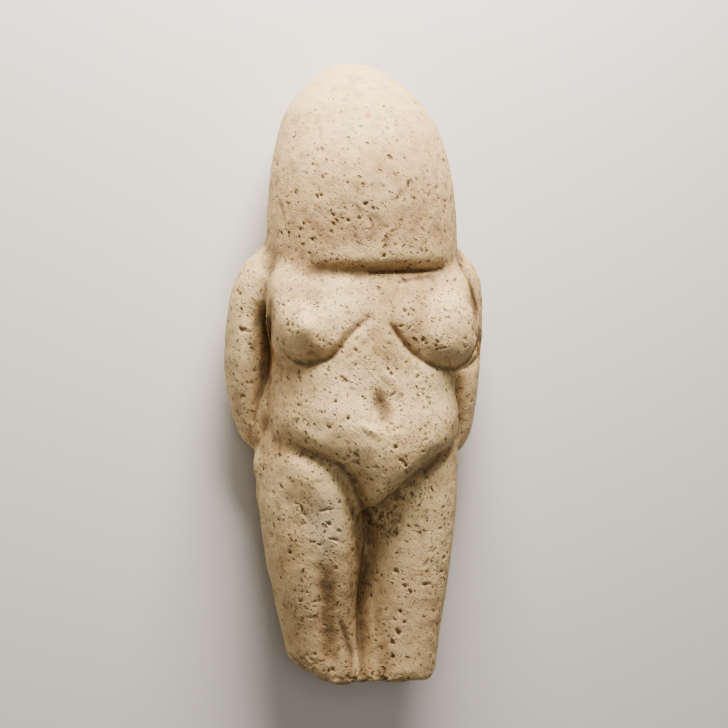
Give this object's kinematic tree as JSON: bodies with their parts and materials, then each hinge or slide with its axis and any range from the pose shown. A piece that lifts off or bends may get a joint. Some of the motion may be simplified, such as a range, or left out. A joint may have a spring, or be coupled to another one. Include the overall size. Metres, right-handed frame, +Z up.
{
  "type": "stone figurine",
  "caption": "Carved stone figurine of a nude woman with a tall faceless domed head, arms bent behind the back and legs broken off at the knees.",
  "frame": {"origin": "on the floor under the middle of the figurine as it lies on its back", "axes": "+X across the figurine towards the viewer's right, +Y along it from the broken knees to the crown, +Z up out of its front"},
  "size_m": [0.0858, 0.2002, 0.0552],
  "materials": {
    "porous_stone": "matt, finely pitted"
  },
  "bodies": {
    "root": {"figurine": "porous_stone"}
  },
  "joints": []
}
